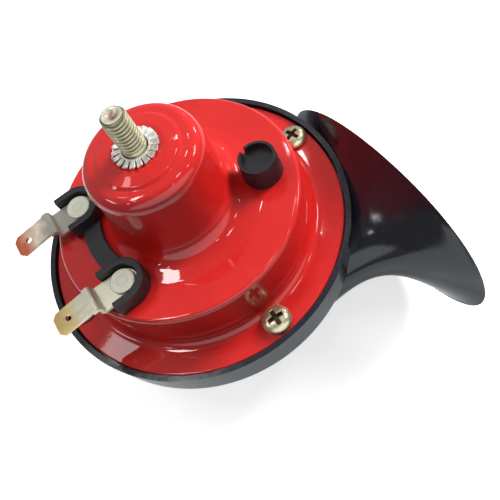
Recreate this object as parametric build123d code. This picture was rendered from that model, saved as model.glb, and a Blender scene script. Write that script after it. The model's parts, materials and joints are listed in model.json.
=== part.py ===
from build123d import *
import os
from math import cos, pi, radians, sin, sqrt

os.makedirs("parts", exist_ok=True)

# A twelve-volt snail horn: a pressed steel cup that holds the electromagnet and the contact breaker,
# screwed over a steel diaphragm to a plastic trumpet that is coiled like a snail shell.
# Frame: the origin is on the stud's axis, level with the top of its toothed washer, where the
# bracket is clamped. +Z runs up the stud and -X points at the two terminals. Lengths are in
# millimetres.

# Trumpet rim, the ring that takes the steel cup
rim_below_crown = 35.9
lip_width = 1.4
rim_depth = 11.0
rim_taper = 0.8
rim_edge_round = 1.2
chamber_depth = 5.2

# Steel cup: flange, drum with a shoulder, and tower
sheet = 1.2
flange_sink = 0.9
flange_gap = 0.4
drum_taper = 0.2
shoulder_height = 13.3
shoulder_round = 1.1
shoulder_margin = 0.85
drum_foot_round = 0.5
tower_foot_radius = 15.3
tower_taper = 0.8
tower_foot_round = 2.2
tower_top_round = 3.2
crown_drop = 1.1
crown_step_margin = 0.9
crown_step_width = 0.8
crown_step_drop = 0.35
crown_step_round = 0.3
seat_radius = 7.0

# Mounting stud and its toothed washer
stud_radius = 3.0
stud_length = 11.0
stud_chamfer = 0.7
stud_engagement = 8.0
stud_root_radius = 2.7
thread_clearance = 0.05
washer_outer_radius = 5.5
washer_inner_radius = 3.2
washer_thickness = 0.56
washer_height = 1.0
washer_tooth_twist = 24.0
washer_tooth_share = 0.62
washer_tooth_length = 1.6
washer_teeth = 18

# Flange screws
screw_angles = (-80.0, 12.0, 100.0, 187.0)
screw_edge_distance = 3.9
screw_head_radius = 3.7
screw_head_height = 2.6
screw_shank_radius = 1.95
screw_length = 9.5
screw_hole_radius = 2.2
screw_recess_width = 0.9
screw_recess_length = 4.2
screw_recess_depth = 1.3

# Gaskets and diaphragm
gasket_thickness = 0.5
diaphragm_thickness = 0.35
stack_edge_gap = 0.4

# Electromagnet
core_length = 17.0
bore_clearance = 0.1
bobbin_wall = 1.0
bobbin_flange_thickness = 1.0
bobbin_top_gap = 0.6
bobbin_top_edge_gap = 0.5
bobbin_foot_gap = 1.5
winding_inset = 0.2
winding_width = 3.5
air_gap = 0.9
armature_clearance = 0.4
armature_collar_step = 1.2
pusher_width = 2.5
pusher_thickness = 1.2
spigot_radius = 2.0
clamp_washer_radius = 8.0
clamp_washer_thickness = 0.8
nut_across_flats = 7.0
nut_thickness = 2.4

# Yoke plate under the shoulder, which carries the breaker
yoke_thickness = 1.2
yoke_gap = 1.4
yoke_ledge = 1.6

# Contact breaker
breaker_angle = -17.0
breaker_rivet_inset = 2.1
breaker_rivet_radius = 1.2
breaker_rivet_head_radius = 2.2
breaker_rivet_head_height = 0.8
breaker_width = 6.0
breaker_root_length = 3.6
top_insulator_thickness = 0.8
moving_arm_thickness = 0.4
moving_arm_clearance = 0.12
contact_radius = 1.4
contact_height = 0.8
fixed_arm_thickness = 0.6
bottom_insulator_thickness = 0.6
contact_from_adjuster = 8.2
fixed_arm_overhang = 2.4
arm_over_pusher = 1.0

# Adjusting screw and its cap
adjuster_from_rivet = 4.0
adjuster_shank_radius = 1.75
adjuster_head_radius = 3.0
adjuster_head_height = 2.0
adjuster_slot_width = 0.8
adjuster_slot_depth = 1.0
cap_base_radius = 5.0
cap_top_radius = 4.65
cap_height = 6.5
cap_wall = 0.7
cap_floor_depth = 1.9
cap_notch_width = 1.3
cap_notch_angle = 115.0
running_clearance = 0.05

# Terminals
terminal_axis_angle = 185.0
terminal_tower_gap = 1.15
terminal_spread = 32.5
strip_thickness = 0.8
strip_width = 7.2
blade_width = 6.3
blade_length = 9.3
blade_slope = 8.0
blade_chamfer = 1.1
blade_hole_radius = 0.85
blade_hole_from_tip = 3.6
step_from_rivet = 7.4
step_rise = 2.4
step_round = 0.9
terminal_rivet_head_radius = 3.2
terminal_rivet_head_height = 1.2
terminal_rivet_shank_radius = 1.5
terminal_rivet_tail_height = 1.0
terminal_rivet_tail_radius = 2.4
bush_radius = 2.4
bush_flange_radius = 4.2
bush_flange_thickness = 1.0

# Terminal block
block_floor = 2.0
block_wall = 1.7
block_strip_gap = 0.35
block_wall_height = 2.9
block_leg_length = 4.6
block_band_inner_radius = 19.3
block_band_outer_radius = 24.0

# Snail scroll, seen from above: three quarter arcs that grow towards the straight exit
scroll_depth = 31.6
scroll_wall = 2.0
exit_outer_y = -32.6
divider_y = -6.0
scroll_radii = (17.0, 22.0)
scroll_edge_round = 4.5
scroll_first_centre_y = -4.0
scroll_divider_radius = 7.0
throat_radius = 4.0
cover_thickness = 2.0
cover_seam_x = 3.0
cover_seam_y = -7.5
scroll_end_x = 6.0

# Bell: each section's centre (X from the rim's outer edge, Y, height from the rim), half width,
# half height, turn about Z, downward tilt and squareness
bell_wall = 2.0
bell_sections = (
    ((-40.0, -19.2, -21.2), 13.3, 10.35, 0.0, 0.0, 0.95),
    ((-32.0, -19.1, -19.9), 13.3, 9.8, 0.0, 0.0, 0.88),
    ((-23.5, -19.0, -17.0), 13.4, 8.7, 0.0, 0.0, 0.76),
    ((-14.5, -18.7, -14.3), 13.9, 8.5, 1.5, 1.0, 0.66),
    ((-7.0, -18.2, -13.0), 16.6, 9.7, 3.5, 3.0, 0.62),
    ((-1.5, -18.0, -12.5), 22.4, 12.6, 5.0, 5.0, 0.61),
    ((1.9, -17.9, -11.9), 30.0, 16.6, 7.0, 7.0, 0.59),
    ((3.8, -17.8, -11.3), 37.0, 20.0, 8.0, 8.0, 0.58),
)

# Radii that follow from the sizes above, from the tower outwards
tray_inner_radius = strip_width / 2 + block_strip_gap
tray_outer_radius = tray_inner_radius + block_wall
tower_top_radius = tower_foot_radius - tower_taper
crown_step_radius = tower_top_radius - tower_top_round - crown_step_margin
terminal_circle_radius = tower_foot_radius + tower_foot_round + terminal_tower_gap + tray_outer_radius
shoulder_radius = terminal_circle_radius + tray_outer_radius + shoulder_round + shoulder_margin
drum_foot_radius = shoulder_radius + drum_taper
screw_circle_radius = drum_foot_radius + drum_foot_round + screw_head_radius
flange_radius = screw_circle_radius + screw_edge_distance
lip_inner_radius = flange_radius + flange_gap
rim_radius = lip_inner_radius + lip_width
chamber_radius = screw_circle_radius - screw_head_radius
bobbin_radius = tower_foot_radius - sheet - bobbin_foot_gap
bobbin_top_radius = tower_top_radius - tower_top_round - bobbin_top_edge_gap
winding_radius = bobbin_top_radius - winding_inset
bobbin_bore_radius = winding_radius - winding_width - bobbin_wall
core_radius = bobbin_bore_radius - bore_clearance
plunger_radius = bobbin_bore_radius - armature_clearance
armature_collar_radius = plunger_radius + armature_collar_step
pusher_radius = plunger_radius + pusher_width
yoke_radius = shoulder_radius - sheet - yoke_gap
yoke_bore_radius = bobbin_radius - yoke_ledge
breaker_rivet_from_axis = yoke_radius - breaker_rivet_inset
adjuster_from_axis = breaker_rivet_from_axis - adjuster_from_rivet
contact_from_axis = adjuster_from_axis - contact_from_adjuster
fixed_arm_end_from_axis = contact_from_axis - fixed_arm_overhang
moving_arm_end_from_axis = pusher_radius - arm_over_pusher

# Levels that follow, from the washer's top downwards
crown_z = -washer_height
rim_z = crown_z - rim_below_crown
front_z = rim_z - scroll_depth
flange_z = rim_z - flange_sink
shoulder_z = rim_z + shoulder_height
flange_bottom_z = flange_z - sheet
upper_gasket_bottom_z = flange_bottom_z - gasket_thickness
diaphragm_bottom_z = upper_gasket_bottom_z - diaphragm_thickness
seat_z = diaphragm_bottom_z - gasket_thickness
chamber_floor_z = seat_z - chamber_depth
rim_bottom_z = rim_z - rim_depth
shoulder_inside_z = shoulder_z - sheet
tower_inside_z = crown_z - sheet
stud_bottom_z = tower_inside_z - stud_engagement
yoke_bottom_z = shoulder_inside_z - yoke_thickness
core_bottom_z = tower_inside_z - core_length
bobbin_top_z = tower_inside_z - crown_drop - bobbin_top_gap
bobbin_bottom_z = shoulder_inside_z
armature_top_z = core_bottom_z - air_gap
breaker_top_z = yoke_bottom_z - top_insulator_thickness
moving_arm_top_z = breaker_top_z - moving_arm_clearance
moving_arm_bottom_z = moving_arm_top_z - moving_arm_thickness
contacts_middle_z = moving_arm_bottom_z - contact_height
fixed_arm_top_z = contacts_middle_z - contact_height
fixed_arm_bottom_z = fixed_arm_top_z - fixed_arm_thickness
stack_bottom_z = fixed_arm_bottom_z - bottom_insulator_thickness
pusher_top_z = moving_arm_bottom_z - running_clearance
collar_top_z = pusher_top_z - pusher_thickness
collar_bottom_z = upper_gasket_bottom_z
strip_bottom_z = shoulder_z + block_floor
strip_top_z = strip_bottom_z + strip_thickness


def polar(radius, angle):
    """Point in the XY plane at this radius and angle."""
    return (radius * cos(radians(angle)), radius * sin(radians(angle)))


def disc(radius, low, high, centre=(0.0, 0.0)):
    """Upright cylinder between two levels."""
    base = Plane(origin=(centre[0], centre[1], low))
    return extrude(base * Circle(radius), high - low)


def ring(outer, inner, low, high, centre=(0.0, 0.0)):
    """Upright tube between two levels."""
    return disc(outer, low, high, centre) - disc(inner, low - 1, high + 1, centre)


def slab(x_range, y_range, z_range):
    """Box given by its three ranges."""
    size = (x_range[1] - x_range[0], y_range[1] - y_range[0], z_range[1] - z_range[0])
    middle = [(pair[0] + pair[1]) / 2 for pair in (x_range, y_range, z_range)]
    return Pos(*middle) * Box(*size)


def turned(points, rounds):
    """Solid of revolution about Z from a profile that starts at the outside and ends on the axis."""
    path = FilletPolyline(*[(r, 0, z) for r, z in points], radius=rounds)
    foot = (points[0][0], 0, points[0][1])
    axis_top = (0, 0, points[-1][1])
    axis_foot = (0, 0, points[0][1])
    closing = Polyline(axis_top, axis_foot, foot)
    return revolve(make_face(path.edges() + closing.edges()), Axis.Z)


screw_centres = [polar(screw_circle_radius, angle) for angle in screw_angles]
adjuster_centre = polar(adjuster_from_axis, breaker_angle)
breaker_rivet_centre = polar(breaker_rivet_from_axis, breaker_angle)
contact_centre = polar(contact_from_axis, breaker_angle)
terminal_angles = {
    "lower": terminal_axis_angle + terminal_spread,
    "upper": terminal_axis_angle - terminal_spread,
}
terminal_centres = {name: polar(terminal_circle_radius, a) for name, a in terminal_angles.items()}


# Steel cup

def cup_solid(inset):
    """The cup's outer form, or the same form pulled in by the sheet thickness."""
    points = [
        (drum_foot_radius - inset, flange_bottom_z - inset),
        (drum_foot_radius - inset, flange_z - inset + 0.01),
        (shoulder_radius - inset, shoulder_z - inset),
        (tower_foot_radius - inset, shoulder_z - inset),
        (tower_top_radius - inset, crown_z - crown_drop - inset),
        (crown_step_radius, crown_z - crown_drop + crown_step_drop - inset),
        (crown_step_radius - crown_step_width, crown_z - crown_step_drop - inset),
        (seat_radius, crown_z - inset),
        (0, crown_z - inset),
    ]
    rounds = [
        0.01,
        max(shoulder_round - inset, 0.2),
        tower_foot_round + inset,
        tower_top_round - inset,
        crown_step_round,
        crown_step_round,
        crown_step_round,
    ]
    return turned(points, rounds)


def make_red_housing():
    shell = cup_solid(0.0)
    shell += disc(flange_radius, flange_bottom_z, flange_z)
    foot_edge = [
        edge for edge in shell.edges().filter_by(GeomType.CIRCLE)
        if abs(edge.radius - drum_foot_radius) < 0.05 and abs(edge.center().Z - flange_z) < 0.05
    ]
    shell = fillet(foot_edge, drum_foot_round)
    shell -= cup_solid(sheet)
    shell -= disc(stud_root_radius + thread_clearance, tower_inside_z - 1, 1)
    for centre in screw_centres:
        shell -= disc(screw_hole_radius, flange_bottom_z - 1, flange_z + 1, centre)
    for centre in terminal_centres.values():
        shell -= disc(bush_radius + running_clearance, shoulder_inside_z - 1, shoulder_z + 1, centre)
    shell -= disc(adjuster_shank_radius + running_clearance, shoulder_inside_z - 1, shoulder_z + 1,
                  adjuster_centre)
    return shell


def make_mounting_stud():
    stud = disc(stud_radius, 0, stud_length)
    stud = chamfer(stud.edges().group_by(Axis.Z)[-1], stud_chamfer)
    return stud + disc(stud_root_radius, stud_bottom_z, 0)


def make_lock_washer():
    """Flat ring whose outer edge is cut into teeth, each twisted about its own radial line."""
    middle_z = crown_z + washer_height / 2
    tooth_root = washer_outer_radius - washer_tooth_length
    washer = ring(tooth_root + washer_tooth_length / 3, washer_inner_radius,
                  middle_z - washer_thickness / 2, middle_z + washer_thickness / 2)
    spacing = 2 * pi * washer_outer_radius / washer_teeth
    tooth = Box(washer_tooth_length, spacing * washer_tooth_share, washer_thickness)
    tooth = Pos(tooth_root + washer_tooth_length / 2, 0, middle_z) * (Rot(washer_tooth_twist, 0, 0) * tooth)
    for index in range(washer_teeth):
        washer += Rot(0, 0, 360.0 / washer_teeth * index) * tooth
    return washer & ring(washer_outer_radius, washer_inner_radius, crown_z, 0)


def make_flange_screws():
    screws = []
    for centre, angle in zip(screw_centres, screw_angles):
        head = disc(screw_head_radius, flange_z, flange_z + screw_head_height, centre)
        head = fillet(head.edges().group_by(Axis.Z)[-1], screw_head_height * 0.6)
        for turn in (0, 90):
            cross = Box(screw_recess_length, screw_recess_width, screw_recess_depth * 2)
            place = Pos(centre[0], centre[1], flange_z + screw_head_height)
            head -= place * (Rot(0, 0, angle + turn) * cross)
        shank = disc(screw_shank_radius, flange_z - screw_length, flange_z, centre)
        shank = chamfer(shank.edges().group_by(Axis.Z)[0], screw_shank_radius * 0.6)
        screws.append(head + shank)
    return Compound(children=screws)


# Diaphragm stack

def drilled_ring(outer, inner, low, high):
    """Ring with the flange screws' holes."""
    piece = ring(outer, inner, low, high)
    for centre in screw_centres:
        piece -= disc(screw_hole_radius, low - 1, high + 1, centre)
    return piece


def make_upper_gasket():
    return drilled_ring(lip_inner_radius - stack_edge_gap, chamber_radius,
                        upper_gasket_bottom_z, flange_bottom_z)


def make_lower_gasket():
    return drilled_ring(lip_inner_radius - stack_edge_gap, chamber_radius,
                        seat_z, diaphragm_bottom_z)


def make_diaphragm():
    return drilled_ring(lip_inner_radius - stack_edge_gap, spigot_radius + running_clearance,
                        diaphragm_bottom_z, upper_gasket_bottom_z)


# Electromagnet

def make_pole_core():
    core = disc(core_radius, core_bottom_z, tower_inside_z)
    core -= disc(stud_root_radius + thread_clearance, stud_bottom_z, tower_inside_z + 1)
    return chamfer(core.edges().group_by(Axis.Z)[0], 0.4)


def make_coil_bobbin():
    tube_radius = bobbin_bore_radius + bobbin_wall
    bobbin = disc(tube_radius, bobbin_bottom_z, bobbin_top_z)
    bobbin += disc(bobbin_radius, bobbin_bottom_z, bobbin_bottom_z + bobbin_flange_thickness)
    bobbin += disc(bobbin_top_radius, bobbin_top_z - bobbin_flange_thickness, bobbin_top_z)
    return bobbin - disc(bobbin_bore_radius, bobbin_bottom_z - 1, bobbin_top_z + 1)


def make_coil_winding():
    low = bobbin_bottom_z + bobbin_flange_thickness
    high = bobbin_top_z - bobbin_flange_thickness
    return ring(winding_radius, bobbin_bore_radius + bobbin_wall, low, high)


def make_armature():
    """Turned plunger with a collar that clamps the diaphragm and a threaded spigot below it."""
    armature = disc(plunger_radius, collar_top_z, armature_top_z)
    armature = chamfer(armature.edges().group_by(Axis.Z)[-1], 0.4)
    armature += disc(armature_collar_radius, collar_bottom_z, collar_top_z)
    washer_bottom = diaphragm_bottom_z - clamp_washer_thickness
    armature += disc(spigot_radius, washer_bottom - nut_thickness - 0.6, collar_bottom_z)
    return armature


def make_armature_pusher():
    """Fibre ring on the armature's collar that lifts the moving arm."""
    return ring(pusher_radius, plunger_radius, collar_top_z, pusher_top_z)


def make_clamp_washer():
    low = diaphragm_bottom_z - clamp_washer_thickness
    return ring(clamp_washer_radius, spigot_radius, low, diaphragm_bottom_z)


def make_armature_nut():
    high = diaphragm_bottom_z - clamp_washer_thickness
    base = Plane(origin=(0, 0, high - nut_thickness))
    hexagon = extrude(base * RegularPolygon(nut_across_flats / 2, 6, major_radius=False), nut_thickness)
    return hexagon - disc(spigot_radius, high - nut_thickness - 1, high + 1)


def make_yoke_plate():
    plate = ring(yoke_radius, yoke_bore_radius, yoke_bottom_z, shoulder_inside_z)
    for centre in terminal_centres.values():
        plate -= disc(bush_flange_radius + 0.6, yoke_bottom_z - 1, shoulder_z, centre)
    plate -= disc(adjuster_shank_radius + 0.6, yoke_bottom_z - 1, shoulder_z, adjuster_centre)
    plate -= disc(breaker_rivet_radius, yoke_bottom_z - 1, shoulder_z, breaker_rivet_centre)
    return plate


# Contact breaker: strips that lie along the line from the stud axis through the adjusting screw

def strip_along_breaker(start, end, low, high, width=breaker_width):
    """Flat strip between two distances from the axis."""
    return Rot(0, 0, breaker_angle) * slab((start, end), (-width / 2, width / 2), (low, high))


breaker_root_start = breaker_rivet_from_axis - breaker_root_length / 2
breaker_root_end = breaker_rivet_from_axis + breaker_root_length / 2


def rivet_hole(low, high, radius=breaker_rivet_radius):
    return disc(radius, low - 1, high + 1, breaker_rivet_centre)


def make_breaker_insulator(low, high):
    piece = strip_along_breaker(breaker_root_start, breaker_root_end, low, high)
    return piece - rivet_hole(low, high)


def make_moving_arm():
    arm = strip_along_breaker(moving_arm_end_from_axis, breaker_root_end, moving_arm_bottom_z,
                              moving_arm_top_z)
    arm -= rivet_hole(moving_arm_bottom_z, moving_arm_top_z, breaker_rivet_radius + 0.15)
    arm -= disc(adjuster_shank_radius + 0.35, moving_arm_bottom_z - 1, moving_arm_top_z + 1,
                adjuster_centre)
    return arm


def make_moving_contact():
    return disc(contact_radius, contacts_middle_z, moving_arm_bottom_z, contact_centre)


def make_fixed_contact():
    return disc(contact_radius, fixed_arm_top_z, contacts_middle_z, contact_centre)


def make_fixed_arm():
    arm = strip_along_breaker(fixed_arm_end_from_axis, breaker_root_end, fixed_arm_bottom_z,
                              fixed_arm_top_z)
    return arm - rivet_hole(fixed_arm_bottom_z, fixed_arm_top_z)


def make_breaker_rivet():
    rivet = disc(breaker_rivet_radius, stack_bottom_z, shoulder_inside_z, breaker_rivet_centre)
    head_low = stack_bottom_z - breaker_rivet_head_height
    return rivet + disc(breaker_rivet_head_radius, head_low, stack_bottom_z, breaker_rivet_centre)


# Adjusting screw and cap

def make_adjusting_screw():
    screw = disc(adjuster_shank_radius, fixed_arm_top_z, shoulder_z, adjuster_centre)
    screw += disc(adjuster_head_radius, shoulder_z, shoulder_z + adjuster_head_height, adjuster_centre)
    slot = Box(adjuster_head_radius * 3, adjuster_slot_width, adjuster_slot_depth * 2)
    top = shoulder_z + adjuster_head_height
    return screw - Pos(adjuster_centre[0], adjuster_centre[1], top) * slot


def make_adjuster_cap():
    """Tapered plastic plug with a dished top, hollow over the screw's head."""
    base = Plane(origin=(adjuster_centre[0], adjuster_centre[1], shoulder_z))
    top = base.offset(cap_height)
    cap = loft([base * Circle(cap_base_radius), top * Circle(cap_top_radius)])
    cap -= disc(cap_top_radius - cap_wall, shoulder_z + cap_height - cap_floor_depth,
                shoulder_z + cap_height + 1, adjuster_centre)
    pocket = adjuster_head_height + 0.4
    cap -= disc(adjuster_head_radius + 0.4, shoulder_z - 1, shoulder_z + pocket, adjuster_centre)
    notch = slab((0, cap_base_radius * 2), (-cap_notch_width / 2, cap_notch_width / 2),
                 (cap_height - cap_floor_depth, cap_height + 1))
    place = Pos(adjuster_centre[0], adjuster_centre[1], shoulder_z)
    return cap - place * (Rot(0, 0, cap_notch_angle) * notch)


# Terminals

def terminal_frame(name):
    """Plane at the rivet, on the shoulder, whose X runs out along the strip."""
    x, y = terminal_centres[name]
    direction = polar(1.0, terminal_axis_angle)
    return Plane(origin=(x, y, 0), x_dir=(direction[0], direction[1], 0), z_dir=(0, 0, 1))


def make_terminal(name):
    """Folded strip: flat under the rivet, a step up, and a blade that slopes down outwards."""
    low = strip_bottom_z
    high = low + step_rise + strip_thickness
    drop = blade_length * sin(radians(blade_slope))
    reach = blade_length * cos(radians(blade_slope))
    step = step_from_rivet
    blade_start = step + strip_thickness + step_round
    path = FilletPolyline(
        (0, 0, low + strip_thickness / 2),
        (step, 0, low + strip_thickness / 2),
        (step, 0, high - strip_thickness / 2),
        (blade_start + reach, 0, high - strip_thickness / 2 - drop),
        radius=[0.5, 0.7])
    start = Plane(origin=(0, 0, low + strip_thickness / 2), x_dir=(0, 1, 0), z_dir=(1, 0, 0))
    strip = sweep(start * Rectangle(strip_width, strip_thickness), path=path)
    strip += disc(strip_width / 2, low, low + strip_thickness)
    tip_x = blade_start + reach
    tip_z = high - strip_thickness / 2 - drop
    for side in (-1, 1):
        edge_y = side * (blade_width / 2 + strip_width / 2)
        strip -= slab((step + 1.8, tip_x + 2), sorted((side * blade_width / 2, edge_y)),
                      (tip_z - 3, high + 1))
        corner = Rot(0, 0, 45) * Box(blade_chamfer * sqrt(2), blade_chamfer * sqrt(2), step_rise * 2)
        strip -= Pos(tip_x, side * blade_width / 2, tip_z) * corner
    hole_x = tip_x - blade_hole_from_tip
    strip -= disc(blade_hole_radius, tip_z - 3, high + 1, (hole_x, 0))
    strip -= disc(terminal_rivet_shank_radius, low - 1, low + strip_thickness + 1)
    return terminal_frame(name).location * strip


def make_terminal_rivet(name):
    centre = terminal_centres[name]
    tail_high = shoulder_inside_z - bush_flange_thickness
    rivet = disc(terminal_rivet_shank_radius, tail_high, strip_top_z, centre)
    head = disc(terminal_rivet_head_radius, strip_top_z, strip_top_z + terminal_rivet_head_height, centre)
    head = fillet(head.edges().group_by(Axis.Z)[-1], 0.35)
    tail = disc(terminal_rivet_tail_radius, tail_high - terminal_rivet_tail_height, tail_high, centre)
    return rivet + head + tail


def make_terminal_bush(name):
    """Insulating bush through the shoulder, flanged inside the cup."""
    centre = terminal_centres[name]
    bush = disc(bush_radius, shoulder_inside_z, shoulder_z, centre)
    bush += disc(bush_flange_radius, shoulder_inside_z - bush_flange_thickness, shoulder_inside_z, centre)
    return bush - disc(terminal_rivet_shank_radius, shoulder_inside_z - 3, shoulder_z + 1, centre)


def make_terminal_block():
    """Moulded insulator: two trays with U-shaped walls, open outwards, joined by a curved band."""
    top = strip_bottom_z + block_wall_height
    inner = tray_inner_radius
    outer = tray_outer_radius
    band = ring(block_band_outer_radius, block_band_inner_radius, shoulder_z, strip_bottom_z)
    wedge_points = [(0, 0)] + [
        polar(shoulder_radius * 2, terminal_axis_angle + s * terminal_spread) for s in (-1, -0.33, 0.33, 1)]
    wedge = extrude(Plane(origin=(0, 0, shoulder_z)) * make_face(Polyline(*wedge_points, close=True)),
                    block_floor)
    block = band & wedge
    for name in terminal_centres:
        tray = disc(outer, shoulder_z, top)
        tray += slab((0, block_leg_length), (-outer, outer), (shoulder_z, top))
        tray -= disc(inner, strip_bottom_z, top + 1)
        tray -= slab((0, block_leg_length + 1), (-inner, inner), (strip_bottom_z, top + 1))
        block += terminal_frame(name).location * tray
    for name in terminal_centres:
        block -= disc(terminal_rivet_shank_radius, shoulder_z - 1, top + 1, terminal_centres[name])
    return block


# Plastic trumpet

def scroll_face(inset, end_x):
    """Snail outline: three quarter arcs growing round to a straight exit along +X."""
    first, second = scroll_radii
    inner_y = divider_y - (scroll_wall - inset) / 2
    y1 = scroll_first_centre_y
    y2 = y1 + first - second
    third = y2 - exit_outer_y
    x3 = third - second
    start = (first - inset, y1)
    bottom = (x3, exit_outer_y + inset)
    arcs = [
        CenterArc((0, y1), first - inset, 0, 90),
        CenterArc((0, y2), second - inset, 90, 90),
        CenterArc((x3, y2), third - inset, 180, 90),
    ]
    lines = [
        Line(bottom, (end_x, bottom[1])),
        Line((end_x, bottom[1]), (end_x, inner_y)),
        Line((end_x, inner_y), (start[0], inner_y)),
        Line((start[0], inner_y), start),
    ]
    return make_face([arc.edge() for arc in arcs] + [line.edge() for line in lines])


def prism(face, low, high):
    return extrude(Plane(origin=(0, 0, low)) * face, high - low)


def bell_section(section, wall):
    """Closed face of four Bezier quarters, square-shouldered at the duct and oval at the mouth."""
    centre, half_width, half_height, turn, tilt, squareness = section
    a = half_width - wall
    b = half_height - wall
    k = squareness
    x_dir = Vector(-sin(radians(turn)), cos(radians(turn)), 0)
    normal = Vector(cos(radians(turn)) * cos(radians(tilt)), sin(radians(turn)) * cos(radians(tilt)),
                    -sin(radians(tilt)))
    origin = (rim_radius + centre[0], centre[1], rim_z + centre[2])
    plane = Plane(origin=origin, x_dir=x_dir, z_dir=normal)
    corners = ((a, 0), (0, b), (-a, 0), (0, -b))
    quarters = []
    for index, (x, y) in enumerate(corners):
        nx, ny = corners[(index + 1) % 4]
        quarters.append(Bezier((x, y), (x + nx * k, y + ny * k), (nx + x * k, ny + y * k), (nx, ny)))
    return plane * make_face([quarter.edge() for quarter in quarters])


def bell_loft(wall):
    return loft([bell_section(section, wall) for section in bell_sections])


def channel_divider():
    """Wall that parts the throat from the exit passage."""
    wall = slab((0, scroll_radii[0]), (divider_y - scroll_wall / 2, divider_y + scroll_wall / 2),
                (front_z, rim_bottom_z))
    centre = (0, divider_y + scroll_divider_radius)
    curl = ring(scroll_divider_radius + scroll_wall / 2, scroll_divider_radius - scroll_wall / 2,
                front_z, rim_bottom_z, centre)
    curl &= slab((-rim_radius, 0), (-rim_radius, rim_radius), (front_z, rim_bottom_z))
    return wall + curl


def make_trumpet_parts():
    """The trumpet body and the front cover that closes its scroll."""
    body = loft([
        Plane(origin=(0, 0, rim_bottom_z)) * Circle(rim_radius - rim_taper),
        Plane(origin=(0, 0, rim_z)) * Circle(rim_radius)])
    body = fillet(body.edges().group_by(Axis.Z)[0], rim_edge_round)
    scroll = prism(scroll_face(0, scroll_end_x), front_z, rim_bottom_z)
    round_edges = [
        edge for edge in scroll.edges().group_by(Axis.Z)[0]
        if edge.geom_type == GeomType.CIRCLE or abs(edge.center().Y - exit_outer_y) < 0.01
    ]
    scroll = fillet(round_edges, scroll_edge_round)
    bell = bell_loft(0)
    body = body + scroll + bell
    channel = prism(scroll_face(scroll_wall, scroll_end_x - scroll_wall), front_z + cover_thickness,
                    rim_bottom_z - scroll_wall)
    body -= channel - channel_divider()
    body -= bell_loft(bell_wall)
    body -= disc(lip_inner_radius, seat_z, rim_z + 1)
    body -= disc(chamber_radius, chamber_floor_z, rim_z + 1)
    body -= disc(throat_radius, rim_bottom_z - scroll_wall - 1, rim_z)
    for centre in screw_centres:
        body -= disc(screw_shank_radius + thread_clearance, flange_z - screw_length - 0.3, seat_z + 1, centre)
    cover_levels = (front_z - 1, front_z + cover_thickness)
    cutter = slab((-rim_radius, cover_seam_x), (-rim_radius, rim_radius), cover_levels)
    cutter += slab((-rim_radius, scroll_radii[0] + 1), (cover_seam_y, rim_radius), cover_levels)
    cover = body & cutter
    body -= cutter
    return body, cover


def make_nodes():
    """Every node's name and its solid."""
    trumpet_body, scroll_cover = make_trumpet_parts()
    nodes = {
        "red_housing": make_red_housing(),
        "mounting_stud": make_mounting_stud(),
        "lock_washer": make_lock_washer(),
        "flange_screws": make_flange_screws(),
        "upper_gasket": make_upper_gasket(),
        "diaphragm": make_diaphragm(),
        "lower_gasket": make_lower_gasket(),
        "pole_core": make_pole_core(),
        "coil_bobbin": make_coil_bobbin(),
        "coil_winding": make_coil_winding(),
        "armature": make_armature(),
        "armature_pusher": make_armature_pusher(),
        "clamp_washer": make_clamp_washer(),
        "armature_nut": make_armature_nut(),
        "yoke_plate": make_yoke_plate(),
        "breaker_top_insulator": make_breaker_insulator(breaker_top_z, yoke_bottom_z),
        "breaker_moving_arm": make_moving_arm(),
        "moving_contact": make_moving_contact(),
        "fixed_contact": make_fixed_contact(),
        "breaker_middle_insulator": make_breaker_insulator(
            fixed_arm_top_z, moving_arm_bottom_z - moving_arm_clearance),
        "breaker_fixed_arm": make_fixed_arm(),
        "breaker_bottom_insulator": make_breaker_insulator(stack_bottom_z, fixed_arm_bottom_z),
        "breaker_rivet": make_breaker_rivet(),
        "adjusting_screw": make_adjusting_screw(),
        "adjuster_cap": make_adjuster_cap(),
        "terminal_block": make_terminal_block(),
        "trumpet_body": trumpet_body,
        "scroll_cover": scroll_cover,
    }
    for name in terminal_centres:
        nodes["terminal_" + name] = make_terminal(name)
        nodes["terminal_rivet_" + name] = make_terminal_rivet(name)
        nodes["terminal_bush_" + name] = make_terminal_bush(name)
    return nodes


def main():
    for name, piece in make_nodes().items():
        export_step(piece, "parts/" + name + ".step")


main()
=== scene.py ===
import json
from math import atan2, ceil, cos, hypot, pi, radians, sin

import bmesh
import bpy
from mathutils import Matrix, Vector


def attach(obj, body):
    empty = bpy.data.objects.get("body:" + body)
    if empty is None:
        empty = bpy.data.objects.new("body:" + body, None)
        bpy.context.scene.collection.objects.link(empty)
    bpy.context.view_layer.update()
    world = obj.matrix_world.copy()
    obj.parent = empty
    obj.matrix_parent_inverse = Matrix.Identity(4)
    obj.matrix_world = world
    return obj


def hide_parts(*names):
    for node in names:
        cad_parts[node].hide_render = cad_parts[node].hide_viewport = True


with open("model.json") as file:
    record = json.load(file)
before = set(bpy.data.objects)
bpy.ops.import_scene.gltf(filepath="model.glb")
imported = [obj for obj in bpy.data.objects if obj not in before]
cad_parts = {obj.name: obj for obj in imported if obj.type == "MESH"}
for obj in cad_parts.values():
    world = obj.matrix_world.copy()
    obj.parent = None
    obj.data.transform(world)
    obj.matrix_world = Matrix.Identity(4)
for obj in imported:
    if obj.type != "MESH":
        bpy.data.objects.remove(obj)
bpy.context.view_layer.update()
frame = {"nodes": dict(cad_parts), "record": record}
nodes = frame["nodes"]
MM = 0.001

# Levels of the CAD model that the pieces below share, in millimetres
CROWN_Z = -1.0
SHOULDER_Z = -23.6
FLANGE_Z = -37.8
FLANGE_BOTTOM_Z = -39.0
FRONT_Z = -68.5
SHEET = 1.2

# Terminals: the circle their rivets stand on in millimetres, their places on it and the way both
# blades point in degrees
TERMINAL_CIRCLE = 24.3
TERMINAL_ANGLES = {"lower": 217.5, "upper": 152.5}
BLADE_DIRECTION = 185.0


# Shader helpers

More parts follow.
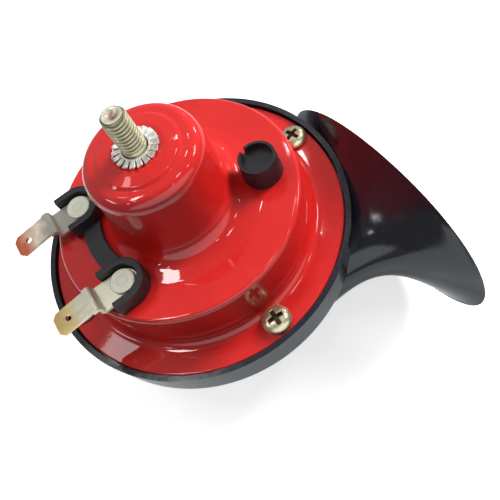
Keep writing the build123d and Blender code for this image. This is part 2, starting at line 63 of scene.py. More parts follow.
NOISE_SPAN = (0.35, 0.65)  # the part of the noise's range that most of it falls in
CLOUD_SCALE = 260  # noise cells per metre that vary a colour
GLOSS_SCALE = 700  # noise cells per metre that vary the gloss


def principled(material):
    return material.node_tree.nodes["Principled BSDF"]


def new_material(name, color, roughness, metallic=0.0, coat=0.0, coat_roughness=0.05, ior=1.5,
                 specular=0.5):
    """Principled material with its constant values on its own sockets."""
    material = bpy.data.materials.new(name)
    material.use_nodes = True
    shader = principled(material)
    shader.inputs["Base Color"].default_value = (*color, 1)
    for socket, value in (("Roughness", roughness), ("Metallic", metallic), ("IOR", ior),
                          ("Specular IOR Level", specular), ("Coat Weight", coat),
                          ("Coat Roughness", coat_roughness)):
        shader.inputs[socket].default_value = value
    return material


def object_place(tree):
    return tree.nodes.new("ShaderNodeTexCoord").outputs["Object"]


def split_axes(tree, vector):
    split = tree.nodes.new("ShaderNodeSeparateXYZ")
    tree.links.new(vector, split.inputs[0])
    return split.outputs


def calculate(tree, operation, *values, kind="ShaderNodeMath"):
    """Math node's outputs; each value is a socket or a constant."""
    node = tree.nodes.new(kind)
    node.operation = operation
    for side, value in enumerate(values):
        if isinstance(value, bpy.types.NodeSocket):
            tree.links.new(value, node.inputs[side])
        else:
            node.inputs[side].default_value = value
    return node.outputs


def length(tree, vector):
    return calculate(tree, "LENGTH", vector, kind="ShaderNodeVectorMath")["Value"]


def multiply(tree, first, second):
    return calculate(tree, "MULTIPLY", first, second)[0]


def remap(tree, value, start, end, low=0.0, high=1.0, kind="LINEAR"):
    """Value that runs from low to high as another runs from start to end."""
    spread = tree.nodes.new("ShaderNodeMapRange")
    spread.interpolation_type = kind
    for socket, level in (("From Min", start), ("From Max", end), ("To Min", low),
                          ("To Max", high)):
        spread.inputs[socket].default_value = level
    tree.links.new(value, spread.inputs["Value"])
    return spread.outputs["Result"]


def add_noise(material, scale, detail=4.0, stretch=(1, 1, 1)):
    """Noise in object space; scale is in cells per metre."""
    tree = material.node_tree
    mapping = tree.nodes.new("ShaderNodeMapping")
    mapping.inputs["Scale"].default_value = stretch
    noise = tree.nodes.new("ShaderNodeTexNoise")
    noise.inputs["Scale"].default_value = scale
    noise.inputs["Detail"].default_value = detail
    tree.links.new(object_place(tree), mapping.inputs["Vector"])
    tree.links.new(mapping.outputs["Vector"], noise.inputs["Vector"])
    return noise.outputs["Fac"]


def vary_roughness(material, value, low, high):
    tree = material.node_tree
    spread = remap(tree, value, *NOISE_SPAN, low, high)
    tree.links.new(spread, principled(material).inputs["Roughness"])


def ramp_color(material, value, stops):
    """Base colour that runs through (position, colour) stops as the value rises."""
    tree = material.node_tree
    ramp = tree.nodes.new("ShaderNodeValToRGB")
    elements = ramp.color_ramp.elements
    elements.remove(elements[1])
    elements[0].position = stops[0][0]
    elements[0].color = (*stops[0][1], 1)
    for position, color in stops[1:]:
        elements.new(position).color = (*color, 1)
    tree.links.new(value, ramp.inputs["Fac"])
    tree.links.new(ramp.outputs["Color"], principled(material).inputs["Base Color"])


def vary_color(material, value, first, second):
    ramp_color(material, value, list(zip(NOISE_SPAN, (first, second))))


def add_bump(material, value, strength, distance):
    """Bump of this height in metres, on the surface and on its coat."""
    tree = material.node_tree
    bump = tree.nodes.new("ShaderNodeBump")
    bump.inputs["Strength"].default_value = strength
    bump.inputs["Distance"].default_value = distance
    tree.links.new(value, bump.inputs["Height"])
    for socket in ("Normal", "Coat Normal"):
        tree.links.new(bump.outputs["Normal"], principled(material).inputs[socket])


def zinc(name, first, second, roughness, metallic=1.0):
    """Plated steel with cloudy colour and uneven gloss."""
    material = new_material(name, first, roughness, metallic)
    vary_color(material, add_noise(material, CLOUD_SCALE, 2.0), first, second)
    gloss = add_noise(material, GLOSS_SCALE, 2.0)
    vary_roughness(material, gloss, roughness - 0.04, roughness + 0.06)
    return material


def plastic(name, color, light, roughness, grain, height, ior=1.5):
    """Moulded plastic, or fibre board, with a fine grain of this height in metres."""
    material = new_material(name, color, roughness, ior=ior)
    vary_color(material, add_noise(material, CLOUD_SCALE), color, light)
    gloss = add_noise(material, GLOSS_SCALE)
    vary_roughness(material, gloss, roughness - 0.03, roughness + 0.05)
    add_bump(material, add_noise(material, grain, 2.0), 0.4, height)
    return material


# Materials

red_paint = new_material("red_paint", (0.60, 0.013, 0.011), 0.45, coat=1.0, coat_roughness=0.035,
                         specular=0.12)
vary_color(red_paint, add_noise(red_paint, 70), (0.57, 0.012, 0.010), (0.64, 0.016, 0.013))
add_bump(red_paint, add_noise(red_paint, 260, 3.0), 0.10, 0.00010)

gloss_black = plastic("gloss_black", (0.014, 0.015, 0.023), (0.018, 0.018, 0.028), 0.13, 900,
                      0.00001, ior=1.53)
matte_black = plastic("matte_black", (0.010, 0.009, 0.012), (0.016, 0.014, 0.017), 0.42, 2600,
                      0.00003)
screw_zinc = zinc("screw_zinc", (0.60, 0.55, 0.36), (0.70, 0.65, 0.45), 0.30, 0.9)
# Dark zinc for the cross recesses: painted shade, not the plating's own colour
recess_painted_shade = zinc("recess_painted_shade", (0.10, 0.075, 0.04), (0.15, 0.11, 0.06), 0.55, 0.7)
bright_zinc = zinc("bright_zinc", (0.84, 0.86, 0.78), (0.92, 0.93, 0.86), 0.26, 0.45)
tinned = zinc("tinned_brass", (0.78, 0.74, 0.63), (0.84, 0.82, 0.73), 0.36)
spring_steel = zinc("spring_steel", (0.46, 0.47, 0.50), (0.55, 0.56, 0.58), 0.28)
soft_steel = zinc("soft_steel", (0.38, 0.39, 0.40), (0.48, 0.48, 0.48), 0.42)
tungsten = zinc("tungsten", (0.40, 0.41, 0.43), (0.50, 0.50, 0.52), 0.40)

# A blade's colours are painted light: a painted reflection at the tip, painted highlight and shade
# towards the bend.
# Given here: where its tip and its bend lie on the X axis in metres, and how far along this
# stretch the tip's, the middle's and the bend's colour stand
BLADE_TIP_X = -0.0415
BLADE_BEND_X = -0.0270
BLADE_STOPS = (0.48, 0.82, 1.0)
BLADE_WOBBLE = 0.5


def blade_with_painted_light(name, tip, middle, bend):
    """Tinned strip coloured along its length with painted light (reflection at the tip, highlight
    and shade near the bend), with fine lengthwise rubbing.
    """
    material = new_material(name, middle, 0.36, metallic=0.85)
    tree = material.node_tree
    along = split_axes(tree, object_place(tree))["X"]
    along = remap(tree, along, BLADE_TIP_X, BLADE_BEND_X)
    wobble = add_noise(material, 240, 3.0)
    uneven = calculate(tree, "MULTIPLY_ADD", wobble, BLADE_WOBBLE, along)[0]
    ramp_color(material, uneven, list(zip(BLADE_STOPS, (tip, middle, bend))))
    vary_roughness(material, add_noise(material, 900, 3.0, (0.2, 1.0, 1.0)), 0.30, 0.44)
    return material


# Lower blade: painted gold reflection at the tip, painted cream highlight at the bend. Upper
# blade: painted pink reflection at the tip, painted highlight in the middle, painted shade at the
# bend.
blade_materials = {
    "lower": blade_with_painted_light("tinned_lower", (0.66, 0.45, 0.17), (0.72, 0.56, 0.27),
                        (0.72, 0.68, 0.53)),
    "upper": blade_with_painted_light("tinned_upper", (0.68, 0.18, 0.09), (0.97, 0.84, 0.68),
                        (0.46, 0.43, 0.36)),
}

# Rings of colour on rivets and stud, inside this reach: (radius in millimetres, colour)
RING_REACH = 3.2
RIVET_RINGS = [(0.0, (0.70, 0.70, 0.58)), (1.28, (0.66, 0.66, 0.54)), (1.47, (0.60, 0.60, 0.49)),
               (1.73, (0.72, 0.72, 0.60)), (3.2, (0.68, 0.68, 0.56))]
# Stud, from the axis out: darker brown towards the centre of the end's dimple, pale on the end's
# face, then painted shade in the thread's grooves, darkest at the root radius and lighter towards
# the crests
STUD_RINGS = [(0.0, (0.26, 0.15, 0.10)), (0.6, (0.42, 0.29, 0.20)), (1.4, (0.78, 0.66, 0.54)),
              (1.9, (0.84, 0.78, 0.64)), (2.3, (0.74, 0.70, 0.54)), (2.42, (0.14, 0.12, 0.06)),
              (2.70, (0.38, 0.35, 0.21)), (2.93, (0.76, 0.73, 0.50))]


def ringed_metal(name, centre, rings, roughness):
    """Metal whose colour runs outwards in rings from a vertical axis at this centre."""
    material = new_material(name, rings[-1][1], roughness, metallic=0.7)
    tree = material.node_tree
    axis = (centre[0] * MM, centre[1] * MM, 0.0)
    kind = "ShaderNodeVectorMath"
    offset = calculate(tree, "SUBTRACT", object_place(tree), axis, kind=kind)[0]
    level = calculate(tree, "MULTIPLY", offset, (1.0, 1.0, 0.0), kind=kind)[0]
    outwards = remap(tree, length(tree, level), 0.0, RING_REACH * MM)
    ramp_color(material, outwards, [(radius / RING_REACH, color) for radius, color in rings])
    gloss = add_noise(material, 800, 2.0)
    vary_roughness(material, gloss, roughness - 0.06, roughness + 0.06)
    return material


# The stud's rings paint shade into its thread's grooves
stud_rings = ringed_metal("stud_rings", (0.0, 0.0), STUD_RINGS, 0.34)

copper_wire = new_material("copper_wire", (0.55, 0.20, 0.08), 0.30, metallic=1.0, coat=0.8)
add_bump(copper_wire, add_noise(copper_wire, 900, 1.0, (0.02, 0.02, 3.0)), 0.8, 0.0002)
gasket_paper = plastic("gasket_paper", (0.20, 0.16, 0.10), (0.28, 0.23, 0.15), 0.85, 2200, 0.00008)
brown_fibre = plastic("brown_fibre", (0.12, 0.045, 0.018), (0.17, 0.07, 0.03), 0.62, 1800, 0.00005)
white_nylon = plastic("white_nylon", (0.62, 0.60, 0.52), (0.70, 0.68, 0.60), 0.45, 1400, 0.00002)

SLOT_MATERIALS = {
    "red_paint": red_paint, "gloss_black": gloss_black, "matte_black": matte_black,
    "yellow_zinc": screw_zinc, "bright_zinc": bright_zinc, "tinned_brass": tinned,
    "spring_steel": spring_steel, "soft_steel": soft_steel, "copper_wire": copper_wire,
    "tungsten": tungsten, "gasket_paper": gasket_paper, "brown_fibre": brown_fibre,
    "white_nylon": white_nylon,
}


def dress(node, material):
    """Material on every slot of a CAD node's object."""
    for place in nodes[node].material_slots:
        place.material = material


for part in frame["record"]["subparts"]:
    dress(part["node"], SLOT_MATERIALS[part["material_slot"]])


# Mesh helpers, in millimetres

ARC_STEP = 9.0  # degrees between the points of a rounded corner
ARC_GUARD = 0.05  # distance of the points that guard a rounded corner
SMOOTH_ANGLE = 35  # degrees; edges sharper than this are bevelled on moulded and stamped pieces


def add_piece(name, vertices, faces, material, body, slot, replaced, smooth=True):
    """Mesh object that rides on a body and stands for CAD nodes."""
    mesh = bpy.data.meshes.new(name)
    mesh.from_pydata([tuple(c * MM for c in v) for v in vertices], [], faces)
    mesh.validate()
    work = bmesh.new()
    work.from_mesh(mesh)
    bmesh.ops.remove_doubles(work, verts=work.verts, dist=1e-7)
    bmesh.ops.recalc_face_normals(work, faces=work.faces)
    for face in work.faces:
        face.smooth = smooth
    work.to_mesh(mesh)
    work.free()
    mesh.materials.append(material)
    piece = bpy.data.objects.new(name, mesh)
    bpy.context.scene.collection.objects.link(piece)
    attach(piece, body)
    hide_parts(*replaced)
    return piece


def bevel_edges(piece, width, segments=2, angle=SMOOTH_ANGLE):
    """Rounded edges, this wide, where faces meet at more than an angle in degrees."""
    bevel = piece.modifiers.new("edges", "BEVEL")
    bevel.width = width * MM
    bevel.segments = segments
    bevel.limit_method = "ANGLE"
    bevel.angle_limit = radians(angle)
    return bevel


def rounded(points, radii):
    """Polyline of (r, z) points with its inner corners rounded to these radii.

    A point just before and after each arc keeps the shading of the flats even.
    """
    path = [points[0]]
    for index, radius in enumerate(radii, start=1):
        before, corner, after = (Vector(points[index + k]) for k in (-1, 0, 1))
        a = (before - corner).normalized()
        b = (after - corner).normalized()
        half = a.angle(b) / 2
        reach = radius * cos(half) / sin(half)
        centre = corner + (a + b).normalized() * (radius / sin(half))
        start = corner + a * reach - centre
        end = corner + b * reach - centre
        first = atan2(start.y, start.x)
        sweep = atan2(end.y, end.x) - first
        sweep = (sweep + pi) % (2 * pi) - pi
        count = max(2, ceil(abs(sweep) / radians(ARC_STEP)))
        path.append(tuple(corner + a * (reach + ARC_GUARD)))
        for k in range(count + 1):
            angle = first + sweep * k / count
            path.append((centre.x + radius * cos(angle), centre.y + radius * sin(angle)))
        path.append(tuple(corner + b * (reach + ARC_GUARD)))
    path.append(points[-1])
    return path


def ring_faces(low, high, count):
    """Quads between two rings of this many vertices, from the index each ring starts at."""
    pairs = [(k, (k + 1) % count) for k in range(count)]
    return [(low + k, low + n, high + n, high + k) for k, n in pairs]


def ring(radius, z, segments, centre=(0.0, 0.0)):
    angles = [2 * pi * k / segments for k in range(segments)]
    return [(centre[0] + radius * cos(a), centre[1] + radius * sin(a), z) for a in angles]


def lathe(profile, segments, centre=(0.0, 0.0), closed=True):
    """Vertices and faces of a profile of (r, z) points turned about a vertical axis."""
    vertices, faces = [], []
    for r, z in profile:
        vertices += ring(r, z, segments, centre)
    count = len(profile)
    for i in range(count if closed else count - 1):
        faces += ring_faces(i * segments, (i + 1) % count * segments, segments)
    return vertices, faces


def extruded(outline, low, high):
    """Closed prism over an outline of (x, y) points."""
    count = len(outline)
    vertices = [(x, y, low) for x, y in outline] + [(x, y, high) for x, y in outline]
    faces = [tuple(reversed(range(count))), tuple(range(count, 2 * count))]
    return vertices, faces + ring_faces(0, count, count)


def join(*parts):
    """One vertex and face list from several."""
    vertices, faces = [], []
    for part_vertices, part_faces in parts:
        shift = len(vertices)
        vertices += part_vertices
        faces += [tuple(i + shift for i in face) for face in part_faces]
    return vertices, faces


def polar(radius, degrees):
    return radius * cos(radians(degrees)), radius * sin(radians(degrees))


def arc(radius, first, last, count):
    return [polar(radius, first + (last - first) * k / count) for k in range(count + 1)]


def turned(x, y, degrees):
    """Point turned about the origin."""
    c, s = cos(radians(degrees)), sin(radians(degrees))
    return x * c - y * s, x * s + y * c


# Red steel cup: one pressed sheet, turned, with a raised flat round the stud

CUP_SEGMENTS = 224
STUD_HOLE = 2.8
TOWER_TOP, TOWER_FOOT = 14.5, 15.3
DRUM_TOP, DRUM_FOOT = 31.9, 32.1
FLANGE_RADIUS = 40.2

outside = rounded(
    [(STUD_HOLE, CROWN_Z), (7.0, CROWN_Z), (9.6, CROWN_Z - 0.35), (10.4, CROWN_Z - 0.75),
     (TOWER_TOP, CROWN_Z - 1.1), (TOWER_FOOT, SHOULDER_Z + 1.0), (22.6, SHOULDER_Z),
     (DRUM_TOP, SHOULDER_Z), (DRUM_FOOT, FLANGE_Z), (FLANGE_RADIUS, FLANGE_Z),
     (FLANGE_RADIUS, FLANGE_BOTTOM_Z)],
    [1.2, 0.5, 0.45, 3.2, 5.0, 6.0, 1.1, 2.4, 0.35])
inside = rounded(
    [(FLANGE_RADIUS, FLANGE_BOTTOM_Z), (DRUM_FOOT - SHEET, FLANGE_BOTTOM_Z),
     (30.7, SHOULDER_Z - SHEET), (14.1, SHOULDER_Z - SHEET), (13.3, CROWN_Z - 2.3),
     (STUD_HOLE, CROWN_Z - SHEET)],
    [0.8, 0.6, 4.2, 2.2])
add_piece("housing_shell", *lathe(outside + inside[1:], CUP_SEGMENTS), red_paint, "horn",
          "red_paint", ["red_housing"])


# Mounting stud: rolled thread with a chamfered end and a shallow centre mark, and a plain root

THREAD_LENGTH = 11.0
THREAD_CREST = 2.95
THREAD_ROOT = 2.38
THREAD_PITCH = 1.05
THREAD_RUN_IN = 1.2  # height over which the grooves reach their full depth
THREAD_TIP = 2.32  # radius of the crests at the chamfered end
CREST_NARROWING = 0.8  # a power under 1 leaves narrow crests between wide grooves
THREAD_SEGMENTS = 72
ROWS_PER_PITCH = 14
DIMPLE = [(2.10, 0.0), (1.75, 0.03), (1.35, 0.3), (0.8, 0.75), (0.3, 0.95), (0.02, 1.0)]
ROOT_RADIUS = 2.7
ROOT_DEPTH = 9.2
ROOT_SEGMENTS = 48


def thread():
    """Helical thread surface up to a chamfered end with a dimple."""
    vertices, faces = [], []
    rows = int(THREAD_LENGTH / THREAD_PITCH * ROWS_PER_PITCH)
    for i in range(rows + 1):
        z = THREAD_LENGTH * i / rows
        limit = min(THREAD_CREST, THREAD_TIP + (THREAD_LENGTH - z))
        fade = min(1.0, z / THREAD_RUN_IN)
        for k in range(THREAD_SEGMENTS):
            turn = (z / THREAD_PITCH - k / THREAD_SEGMENTS) % 1.0
            groove = (0.5 + 0.5 * cos(2 * pi * turn)) ** CREST_NARROWING
            depth = (THREAD_CREST - THREAD_ROOT) * groove * fade
            r = min(THREAD_CREST - depth, limit)
            angle = 2 * pi * k / THREAD_SEGMENTS
            vertices.append((r * cos(angle), r * sin(angle), z))
    for r, depth in DIMPLE:
        vertices += ring(r, THREAD_LENGTH - depth, THREAD_SEGMENTS)
    for i in range(rows + len(DIMPLE)):
        faces += ring_faces(i * THREAD_SEGMENTS, (i + 1) * THREAD_SEGMENTS, THREAD_SEGMENTS)
    faces.append(tuple(range(len(vertices) - THREAD_SEGMENTS, len(vertices))))
    faces.append(tuple(reversed(range(THREAD_SEGMENTS))))
    return vertices, faces


root_bottom = CROWN_Z - ROOT_DEPTH
root = lathe([(0.0, 0.0), (ROOT_RADIUS, 0.0), (ROOT_RADIUS, root_bottom), (0.0, root_bottom)],
             ROOT_SEGMENTS, closed=False)
add_piece("stud_thread", *join(thread(), root), stud_rings, "horn", "yellow_zinc",
          ["mounting_stud"])


# Toothed lock washer: teeth twisted out of the ring

WASHER_TEETH = 18
WASHER_INNER = 3.2
WASHER_OUTER = 5.5
WASHER_RING = 0.5  # width of the plain ring inside the teeth
WASHER_THICKNESS = 0.56
WASHER_SEGMENTS = 108
TOOTH_THINNING = 0.42  # half a tooth's thickness as a share of the ring's
TOOTH_TWIST = 24.0  # degrees
# Sections of a tooth: radius, share of the pitch it fills, share of the twist
TOOTH_SECTIONS = ((WASHER_INNER + 0.3, 0.62, 0.15), (WASHER_INNER + 0.8, 0.78, 0.7),
                  (WASHER_OUTER - 0.3, 0.80, 1.0), (WASHER_OUTER, 0.66, 1.0))


def toothed_washer():
    """Ring whose rim is slit into teeth, each turned about its own radial line."""
    middle_z = CROWN_Z / 2
    low, high = middle_z - WASHER_THICKNESS / 2, middle_z + WASHER_THICKNESS / 2
    body = WASHER_INNER + WASHER_RING
    parts = [lathe([(WASHER_INNER, low), (WASHER_INNER, high), (body, high), (body, low)],
                   WASHER_SEGMENTS)]
    for index in range(WASHER_TEETH):
        vertices = []
        for r, width, twist in TOOTH_SECTIONS:
            half_width = 2 * pi * r / WASHER_TEETH * width / 2
            half_height = WASHER_THICKNESS * TOOTH_THINNING
            for side, level in ((-1, -1), (1, -1), (1, 1), (-1, 1)):
                y, z = turned(side * half_width, level * half_height, TOOTH_TWIST * twist)
                vertices.append((*turned(r, y, 360.0 / WASHER_TEETH * index), z + middle_z))
        faces = []
        for section in range(len(TOOTH_SECTIONS) - 1):
            faces += ring_faces(section * 4, section * 4 + 4, 4)
        faces += [(3, 2, 1, 0), tuple(range(len(vertices) - 4, len(vertices)))]
        parts.append((vertices, faces))
    return join(*parts)


washer = add_piece("toothed_washer", *toothed_washer(), bright_zinc, "horn", "bright_zinc",
                   ["lock_washer"], smooth=False)
bevel_edges(washer, 0.07, angle=30)


# Flange screws: domed heads with a cross recess that narrows as it goes down

SCREW_CIRCLE = 36.3
SCREW_ANGLES = [-80.0, 12.0, 100.0, 187.0]
RECESS_TURNS = [3.0, 24.0, 51.0, 70.0]
SCREW_SEGMENTS = 120
HEAD_RINGS = 46
HEAD_RADIUS = 3.7
HEAD_HEIGHT = 2.6
HEAD_CROWN = 1.75  # how much of the height is domed
FLAT_POWER, RIM_POWER = 2.6, 0.62  # how flat the dome's middle is and how round its rim
SHANK_RADIUS = 1.95
RECESS_REACH = 2.1
RECESS_HALF_WIDTH = 0.58
RECESS_DEPTH = 1.5
RECESS_END_SLOPE, RECESS_SIDE_SLOPE = 3.0, 3.4
RECESS_FLOOR = 0.25  # least height of the recess's floor over the flange
RECESS_LIMIT = 2.4  # faces this near the screw's axis and this deep get the recess's painted shade
RECESS_EDGE = 0.25
screw_places = [(polar(SCREW_CIRCLE, angle), turn)
                for angle, turn in zip(SCREW_ANGLES, RECESS_TURNS)]


def cross_depth(x, y, turn):
    """Depth of a cross recess, turned by this many degrees, at a point on the head."""
    def arm(along, across):
        reach = (RECESS_REACH - abs(along)) / RECESS_REACH
        side = (RECESS_HALF_WIDTH - abs(across)) / RECESS_HALF_WIDTH
        if reach <= 0 or side <= 0:
            return 0.0
        return min(1.0, reach * RECESS_END_SLOPE) * min(1.0, side * RECESS_SIDE_SLOPE)
    x, y = turned(x, y, -turn)
    return RECESS_DEPTH * max(arm(x, y), arm(y, x))


def screw(centre, turn):
    vertices, faces = [], []
    for i in range(HEAD_RINGS + 1):
        share = i / HEAD_RINGS
        z = HEAD_HEIGHT - HEAD_CROWN * (1 - (1 - share ** FLAT_POWER) ** RIM_POWER)
        for x, y, _ in ring(HEAD_RADIUS * share, z, SCREW_SEGMENTS):
            height = max(RECESS_FLOOR, z - cross_depth(x, y, turn))
            vertices.append((centre[0] + x, centre[1] + y, FLANGE_Z + height))
    for i in range(HEAD_RINGS):
        faces += ring_faces(i * SCREW_SEGMENTS, (i + 1) * SCREW_SEGMENTS, SCREW_SEGMENTS)
    below = lathe([(HEAD_RADIUS, FLANGE_Z + HEAD_HEIGHT - HEAD_CROWN),
                   (HEAD_RADIUS - 0.1, FLANGE_Z), (SHANK_RADIUS, FLANGE_Z),
                   (SHANK_RADIUS, FLANGE_Z - 8.6), (0.9, FLANGE_Z - 9.5), (0.0, FLANGE_Z - 9.5)],
                  SCREW_SEGMENTS, centre, closed=False)
    return join((vertices, faces), below)


heads = add_piece("screw_heads", *join(*(screw(centre, turn) for centre, turn in screw_places)),
                  screw_zinc, "horn", "yellow_zinc", ["flange_screws"])
# The faces deep in each cross recess get the painted shade
heads.data.materials.append(recess_painted_shade)
for face in heads.data.polygons:
    spot = face.center / MM
    for centre, turn in screw_places:
        x, y = spot.x - centre[0], spot.y - centre[1]
        near = hypot(x, y) < RECESS_LIMIT and spot.z > FLANGE_Z
        if near and cross_depth(x, y, turn) > RECESS_EDGE:
            face.material_index = 1


# Terminal block: two trays with U-shaped walls, joined by a curved band, with moulded edges

TRAY_LEG = 4.6  # length of the straight part of a tray's walls
TRAY_INNER = 3.95
TRAY_OUTER = 5.65
TRAY_FLOOR = 2.0  # thickness of the trays' floors and of the band
TRAY_WALL = 2.9  # height of the walls over the floor
WALL_SUNK = 0.3  # how far the walls reach into the floor
TRAY_STEPS = 30
BAND_INNER, BAND_OUTER = 19.3, 24.0
BAND_START, BAND_END = 163.0, 207.0
BAND_STEPS = 24


def block_moulding():
    floor_top = SHOULDER_Z + TRAY_FLOOR
    base = [(TRAY_LEG, TRAY_OUTER), *arc(TRAY_OUTER, 90, 270, TRAY_STEPS),
            (TRAY_LEG, -TRAY_OUTER)]
    wall = [*base, (TRAY_LEG, -TRAY_INNER), *arc(TRAY_INNER, 270, 90, TRAY_STEPS),
            (TRAY_LEG, TRAY_INNER)]
    parts = []
    for angle in TERMINAL_ANGLES.values():
        x0, y0 = polar(TERMINAL_CIRCLE, angle)
        for outline, low, high in ((wall, floor_top - WALL_SUNK, floor_top + TRAY_WALL),
                                   (base, SHOULDER_Z, floor_top)):
            placed = [turned(x, y, BLADE_DIRECTION) for x, y in outline]
            parts.append(extruded([(x0 + x, y0 + y) for x, y in placed], low, high))
    band = arc(BAND_OUTER, BAND_START, BAND_END, BAND_STEPS)
    band += arc(BAND_INNER, BAND_END, BAND_START, BAND_STEPS)
    parts.append(extruded(band, SHOULDER_Z, floor_top))
    return join(*parts)


block = add_piece("block_moulding", *block_moulding(), matte_black, "horn", "matte_black",
                  ["terminal_block"])
bevel_edges(block, 0.32, segments=3).harden_normals = True


# Pieces that keep their CAD shape: softened edges and materials of their own

for name, width in (("adjuster_cap", 0.25), ("terminal_lower", 0.12), ("terminal_upper", 0.12)):
    bevel_edges(nodes[name], width)
for side, angle in TERMINAL_ANGLES.items():
    centre = polar(TERMINAL_CIRCLE, angle)
    dress("terminal_rivet_" + side, ringed_metal("rivet_" + side, centre, RIVET_RINGS, 0.48))
    dress("terminal_" + side, blade_materials[side])


# Floor, light and camera, in metres. A fade is (start, end, value at start, value at end), and
# runs from 0 to 1 where the last two are left out.

TABLE_REACH = 3.0
TABLE_GAP = 0.0001  # the table lies this far under the horn's front
TABLE_WHITE_FADE = (0.16, 0.45)  # shaded near the horn, plain white far from it
TABLE_GREY = (0.86, 0.86, 0.86)
TABLE_LIFT = (0.70, 0.70, 0.70)
TABLE_BOUNCE = (0.30, 0.30, 0.30)  # to the rays of soft light
# In reflections: a painted shadow under the horn, dark again past the sheet's edge and painted
# shade on the right
SHEET_TINT = (0.92, 1.0, 1.02)
SHEET_SHADOW_FADE = (0.0835, 0.0905, 0.56, 1.30)
SHEET_EDGE_FADE = (0.30, 0.34, 1.0, 0.16)
SHEET_RIGHT_SHADE_FADE = (0.022, 0.036, 1.0, 0.60)

# The room in reflections: an even level, a bright front that starts above the table, and a paler
# back that ends below the zenith
ROOM_TINT = (0.93, 0.98, 1.0)
ROOM_LEVEL = 0.22
FRONT_FADE = (-0.52, -0.42, 1.45, 0.0)
FRONT_RISE_FADE = (0.16, 0.28, 0.12, 1.0)
BACK_FADE = (0.10, 0.45, 0.0, 0.22)
BACK_TOP_FADE = (0.90, 0.74)
EVEN_LIGHT = (0.17, 0.17, 0.18)
WHITE = (1, 1, 1)

LAMP_TARGET = Vector((0.0, 0.0, -0.036))
LAMP_DISTANCE = 1.1

CAMERA_PLACE = (0.009553, -0.096500, 0.101287)
CAMERA_ROLL = -31.6  # degrees
CAMERA_ELEVATION = 59.69  # degrees
CAMERA_LENS = 45.49  # millimetres, as the sensor's width
CAMERA_SENSOR = 36.0
CAMERA_CLIP = 0.005


def smooth_step(tree, value, fade):
    return remap(tree, value, *fade, kind="SMOOTHSTEP")


def shine(tree, kind, color, strength=None):
    """Emission or background of this colour."""
    glow = tree.nodes.new(kind)
    glow.inputs["Color"].default_value = (*color, 1)
    if strength is not None:
        tree.links.new(strength, glow.inputs["Strength"])
    return glow.outputs[0]


def diffuse(tree, color):
    matte = tree.nodes.new("ShaderNodeBsdfDiffuse")
    matte.inputs["Color"].default_value = (*color, 1)
    return matte.outputs[0]


def blend(tree, factor, first, second):
    mix = tree.nodes.new("ShaderNodeMixShader")
    tree.links.new(factor, mix.inputs["Fac"])
    tree.links.new(first, mix.inputs[1])
    tree.links.new(second, mix.inputs[2])
    return mix.outputs[0]


def by_ray(tree, output, seen, mirrored, other):
    """Surface with one look to the camera, one in reflections and one to all other rays."""
    path = tree.nodes.new("ShaderNodeLightPath")
    unseen = blend(tree, path.outputs["Is Glossy Ray"], other, mirrored)
    out = tree.nodes.new(output)
    tree.links.new(blend(tree, path.outputs["Is Camera Ray"], unseen, seen), out.inputs["Surface"])


def floor_material():
    """Table: shaded white to the camera, a pale sheet in reflections with a painted shadow under
    the horn and painted shade on its right, a dim grey to the rest.
    """
    material = bpy.data.materials.new("floor")
    material.use_nodes = True
    tree = material.node_tree
    tree.nodes.clear()
    place = object_place(tree)
    reach = length(tree, place)
    glow = "ShaderNodeEmission"
    lift = tree.nodes.new("ShaderNodeAddShader")
    tree.links.new(diffuse(tree, TABLE_GREY), lift.inputs[0])
    tree.links.new(shine(tree, glow, TABLE_LIFT), lift.inputs[1])
    far = smooth_step(tree, reach, TABLE_WHITE_FADE)
    seen = blend(tree, far, lift.outputs[0], shine(tree, glow, WHITE))
    # Painted shadow under the horn and painted shade on the right, in the sheet that reflections
    # show
    shadowed_sheet = smooth_step(tree, reach, SHEET_SHADOW_FADE)
    edge = smooth_step(tree, reach, SHEET_EDGE_FADE)
    right_shade = smooth_step(tree, split_axes(tree, place)["X"], SHEET_RIGHT_SHADE_FADE)
    sheet = multiply(tree, multiply(tree, shadowed_sheet, edge), right_shade)
    mirrored = shine(tree, glow, SHEET_TINT, sheet)
    by_ray(tree, "ShaderNodeOutputMaterial", seen, mirrored, diffuse(tree, TABLE_BOUNCE))
    return material


def set_world():
    """White to the camera, an even dim light, and a room with a bright front in reflections."""
    world = bpy.data.worlds.new("studio")
    bpy.context.scene.world = world
    world.use_nodes = True
    tree = world.node_tree
    tree.nodes.clear()
    axes = split_axes(tree, tree.nodes.new("ShaderNodeTexCoord").outputs["Generated"])
    window = smooth_step(tree, axes["Y"], FRONT_FADE)
    front = multiply(tree, window, smooth_step(tree, axes["Z"], FRONT_RISE_FADE))
    behind = smooth_step(tree, axes["Y"], BACK_FADE)
    pale = multiply(tree, behind, smooth_step(tree, axes["Z"], BACK_TOP_FADE))
    room = calculate(tree, "ADD", pale, ROOM_LEVEL)[0]
    total = calculate(tree, "ADD", room, front)[0]
    glow = "ShaderNodeBackground"
    by_ray(tree, "ShaderNodeOutputWorld", shine(tree, glow, WHITE),
           shine(tree, glow, ROOM_TINT, total), shine(tree, glow, EVEN_LIGHT))


def add_area(name, location, target, width, height, power):
    """Rectangular lamp that faces a point."""
    lamp = bpy.data.lights.new(name, "AREA")
    lamp.shape = "RECTANGLE"
    lamp.size, lamp.size_y = width, height
    lamp.energy = power
    holder = bpy.data.objects.new(name, lamp)
    holder.location = location
    holder.rotation_euler = (Vector(target) - Vector(location)).to_track_quat("-Z", "Y").to_euler()
    bpy.context.scene.collection.objects.link(holder)
    return holder


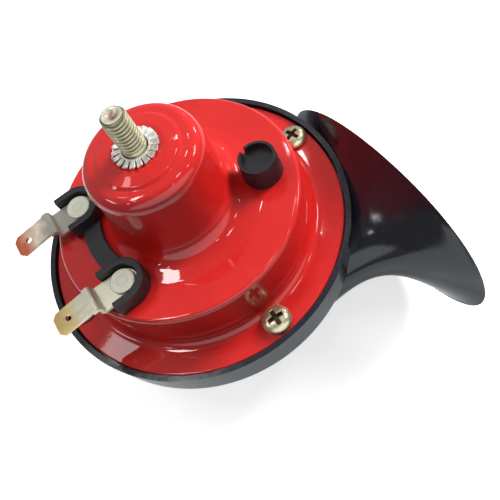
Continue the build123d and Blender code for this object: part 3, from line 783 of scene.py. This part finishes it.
floor_mesh = bpy.data.meshes.new("floor")
level = FRONT_Z * MM - TABLE_GAP
corners = ((-1, -1), (1, -1), (1, 1), (-1, 1))
floor_mesh.from_pydata([(x * TABLE_REACH, y * TABLE_REACH, level) for x, y in corners], [],
                       [(0, 1, 2, 3)])
floor_mesh.materials.append(floor_material())
floor = bpy.data.objects.new("floor", floor_mesh)
bpy.context.scene.collection.objects.link(floor)

set_world()

for name, direction, size, power in (
        ("key", (0.86, 0.20, 0.44), 0.35, 16),
        ("top", (0.10, 0.35, 0.93), 0.60, 2.0)):
    place = LAMP_TARGET + Vector(direction).normalized() * LAMP_DISTANCE
    lamp = add_area(name, place, LAMP_TARGET, size, size, power)
    lamp.visible_glossy = False

# Lamps of the room that show as glints: a point on the horn in millimetres, the direction from it
# to the lamp, the lamp's distance, width and height in metres, and its radiance
GLINTS = [
    ((6.9, -6.3, -1.3), (0.165, 0.500, 0.848), 0.37, 0.014, 0.020, 30),
    ((8.7, -2.9, -1.3), (0.200, 0.604, 0.770), 0.45, 0.014, 0.018, 30),
    ((-29.5, -19.2, -37.8), (-0.238, 0.472, 0.849), 1.2, 0.110, 0.066, 5),
    ((-8.8, -18.3, -23.6), (-0.292, 0.246, 0.926), 1.2, 0.360, 0.095, 18),
    ((27.2, -17.1, -36.7), (0.750, 0.100, 0.650), 1.2, 0.300, 0.160, 14),
    ((14.7, -30.7, -37.8), (0.222, 0.022, 0.975), 1.2, 0.130, 0.100, 12),
    ((32.4, -2.3, -37.0), (0.800, 0.500, 0.340), 1.2, 0.160, 0.120, 14),
    ((20.0, -26.0, -24.0), (0.542, -0.127, 0.825), 1.2, 0.080, 0.080, 14),
    ((7.0, -31.0, -24.0), (0.188, -0.366, 0.904), 1.2, 0.060, 0.060, 14),
    ((-18.0, -25.0, -24.0), (-0.606, -0.116, 0.781), 1.2, 0.060, 0.060, 14),
    ((40.4, -24.1, -38.4), (-0.750, 0.172, 0.640), 1.2, 0.280, 0.160, 7),
    ((34.1, -25.3, -41.6), (-0.437, 0.020, 0.899), 1.2, 0.030, 0.030, 25),
    ((13.0, 2.9, -2.5), (0.560, 0.790, 0.250), 1.2, 0.050, 0.060, 8),
]
for index, (point, direction, distance, width, height, radiance) in enumerate(GLINTS):
    start = Vector(point) * MM
    place = start + Vector(direction).normalized() * distance
    power = radiance * pi * width * height
    lamp = add_area("glint_%d" % index, place, start, width, height, power)
    lamp.visible_camera = False

camera_data = bpy.data.cameras.new("camera")
camera_data.sensor_width = CAMERA_SENSOR
camera_data.lens = CAMERA_LENS
camera_data.clip_start = CAMERA_CLIP
camera = bpy.data.objects.new("camera", camera_data)
roll = radians(CAMERA_ROLL)
elevation = radians(CAMERA_ELEVATION)
right = Vector((cos(roll), sin(roll) * sin(elevation), sin(roll) * cos(elevation)))
up = Vector((-sin(roll), cos(roll) * sin(elevation), cos(roll) * cos(elevation)))
back = Vector((0.0, -cos(elevation), sin(elevation)))
axes = Matrix((right, up, back)).transposed().to_4x4()
camera.matrix_world = Matrix.Translation(CAMERA_PLACE) @ axes
bpy.context.scene.collection.objects.link(camera)
bpy.context.scene.camera = camera

bpy.context.scene.view_settings.view_transform = "Standard"
